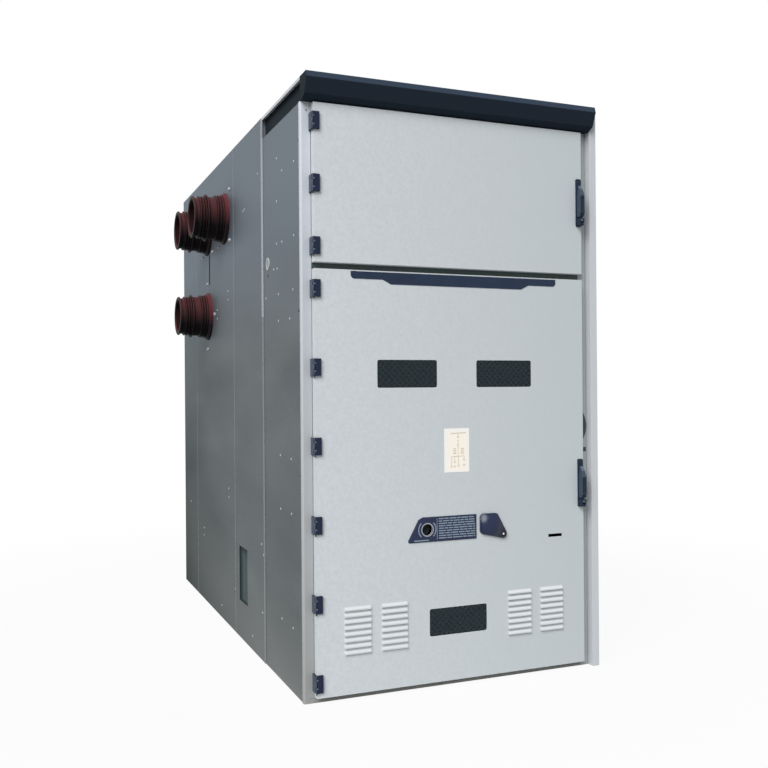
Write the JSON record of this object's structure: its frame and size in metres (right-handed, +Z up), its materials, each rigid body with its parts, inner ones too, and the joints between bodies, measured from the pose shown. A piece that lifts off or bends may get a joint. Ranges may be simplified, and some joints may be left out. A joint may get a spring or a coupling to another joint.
{
  "type": "medium voltage switchgear cabinet",
  "caption": "Metal-clad medium voltage switchgear cabinet: hinged control and breaker doors with swing handles, windows and louvres, navy canopy, ribbed wall bushings on its left side.",
  "frame": {"origin": "middle of the cabinet's footprint on the floor, at the centre of the anchor holes", "axes": "+Z up, front towards -Y, +X to the right of someone who faces the front"},
  "size_m": [1.621, 2.824, 2.6],
  "materials": {
    "galvanised": "hot-dip aluminium-zinc coated sheet, dull, with a fine spangle",
    "frame_paint": "powder coat, satin",
    "door_paint": "powder coat with a fine texture",
    "rail_paint": "powder coat, satin",
    "canopy_paint": "powder coat, satin",
    "hinge_metal": "coated zinc casting",
    "handle_metal": "coated zinc casting",
    "strip_plastic": "printed strip, semi-gloss",
    "plate_plastic": "printed plate, semi-gloss",
    "card_plastic": "printed card, semi-gloss",
    "cover_plastic": "moulded, glossy",
    "bright_zinc": "zinc plated, bright",
    "plug_plastic": "moulded",
    "window_glass": "dark safety glass",
    "bushing_resin": "cast epoxy resin, glossy"
  },
  "bodies": {
    "cabinet": {"base_frame": "galvanised", "floor_plate": "galvanised", "left_stile": "frame_paint", "right_stile": "frame_paint", "front_sill": "frame_paint", "door_rail": "rail_paint", "head_rail": "frame_paint", "canopy": "canopy_paint", "canopy_lid": "frame_paint", "left_front_panel": "galvanised", "left_mid_panel": "galvanised", "left_rear_panel": "galvanised", "left_end_panel": "galvanised", "right_front_panel": "galvanised", "right_rear_panel": "galvanised", "right_front_cover": "frame_paint", "right_rear_cover": "frame_paint", "side_tray": "galvanised", "side_plug": "plug_plastic", "control_shelf": "galvanised", "control_back": "galvanised", "breaker_back": "galvanised", "left_rear_post": "galvanised", "right_rear_post": "galvanised", "rear_upper_cover": "galvanised", "rear_lower_cover": "galvanised", "roof_front_plate": "galvanised", "roof_mid_plate": "galvanised", "roof_rear_plate": "galvanised", "bushing_upper_front": "bushing_resin", "bushing_upper_rear": "bushing_resin", "bushing_lower_rear": "bushing_resin", "hinge_frame_leaves": "hinge_metal"},
    "control_door": {"upper_door": "door_paint", "upper_hinge_leaves": "hinge_metal", "upper_handle_base": "handle_metal"},
    "control_hub": {"upper_handle_hub": "handle_metal"},
    "control_lever": {"upper_handle_lever": "handle_metal"},
    "breaker_door": {"lower_door": "door_paint", "lower_hinge_leaves": "hinge_metal", "louvre_banks": "door_paint", "window_panes": "window_glass", "rating_strip": "strip_plastic", "diagram_card": "card_plastic", "operating_plate": "plate_plastic", "crank_ring": "bright_zinc", "lower_handle_base": "handle_metal"},
    "breaker_hub": {"lower_handle_hub": "handle_metal"},
    "breaker_lever": {"lower_handle_lever": "handle_metal"},
    "crank_cover": {"swivel_cover": "cover_plastic"}
  },
  "joints": [
    {"name": "control_door_hinge", "type": "hinge", "parent": "cabinet", "child": "control_door", "pos_m": [-0.658, -1.402, 2.15], "axis": [0, 0, -1], "range_deg": [0, 120]},
    {"name": "control_handle_turn", "type": "hinge", "parent": "control_door", "child": "control_hub", "pos_m": [0.6345, -1.4183, 2.07654], "axis": [0, -1, 0], "range_deg": [0, 90]},
    {"name": "control_lever_lift", "type": "hinge", "parent": "control_hub", "child": "control_lever", "pos_m": [0.6345, -1.4183, 2.10454], "axis": [1, 0, 0], "range_deg": [0, 35]},
    {"name": "breaker_door_hinge", "type": "hinge", "parent": "cabinet", "child": "breaker_door", "pos_m": [-0.658, -1.402, 0.9], "axis": [0, 0, -1], "range_deg": [0, 120]},
    {"name": "breaker_handle_turn", "type": "hinge", "parent": "breaker_door", "child": "breaker_hub", "pos_m": [0.6345, -1.4183, 0.77686], "axis": [0, -1, 0], "range_deg": [0, 90]},
    {"name": "breaker_lever_lift", "type": "hinge", "parent": "breaker_hub", "child": "breaker_lever", "pos_m": [0.6345, -1.4183, 0.80486], "axis": [1, 0, 0], "range_deg": [0, 35]},
    {"name": "crank_cover_swing", "type": "hinge", "parent": "breaker_door", "child": "crank_cover", "pos_m": [0.143, -1.4, 0.72655], "axis": [0, -1, 0], "range_deg": [0, 100]}
  ]
}
